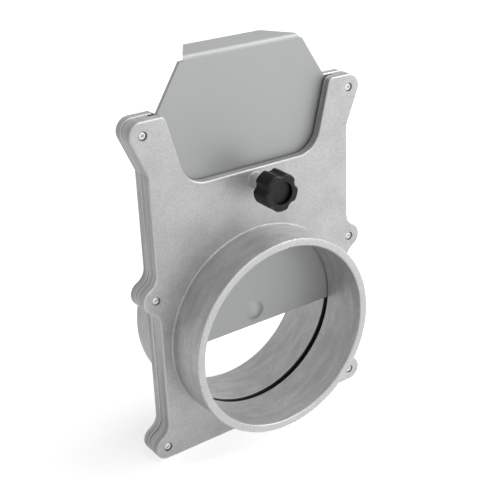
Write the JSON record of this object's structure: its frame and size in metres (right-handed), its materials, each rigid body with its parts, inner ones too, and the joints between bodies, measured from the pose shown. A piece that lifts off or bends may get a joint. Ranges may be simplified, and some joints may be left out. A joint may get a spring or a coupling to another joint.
{
  "type": "blast gate",
  "caption": "Cast aluminium blast gate for a round dust-collection duct: twin spigots, sliding sheet blade with a folded pull flange, and a star-knob clamp screw.",
  "frame": {"origin": "on the axis of the duct, in the middle of the blade's thickness", "axes": "-Y points out of the front spigot, on the side with the clamp knob; +Z is the way the blade is pulled out; +X is to the right seen from the front"},
  "size_m": [0.1258, 0.0568, 0.194],
  "materials": {
    "cast_aluminium": "fine blasted casting",
    "sheet_aluminium": "smooth satin sheet",
    "zinc_steel": "bright zinc",
    "black_plastic": "moulded, satin",
    "grey_plastic": "moulded, matt",
    "rivet_aluminium": "bright",
    "mandrel_steel": "bright broken end"
  },
  "bodies": {
    "housing": {"front_housing": "cast_aluminium", "rear_housing": "cast_aluminium", "housing_rivets": "rivet_aluminium", "rivet_mandrels": "mandrel_steel"},
    "blade": {"slide_blade": "sheet_aluminium"},
    "screw": {"clamp_screw": "zinc_steel"},
    "knob": {"star_knob": "black_plastic", "knob_cap": "grey_plastic"}
  },
  "joints": [
    {"name": "blade_slide", "type": "slide", "parent": "housing", "child": "blade", "axis": [0, 0, 1], "range_m": [-0.0447, 0.038]},
    {"name": "screw_travel", "type": "slide", "parent": "housing", "child": "screw", "axis": [0, -1, 0], "range_m": [0, 0.0016]},
    {"name": "knob_turn", "type": "hinge", "parent": "screw", "child": "knob", "pos_m": [0, 0, 0.0742], "axis": [0, -1, 0], "range_deg": [0, 720]}
  ],
  "couplings": [
    {"joint": "screw_travel", "follows": "knob_turn", "m_per_rad": 0.0001273}
  ]
}
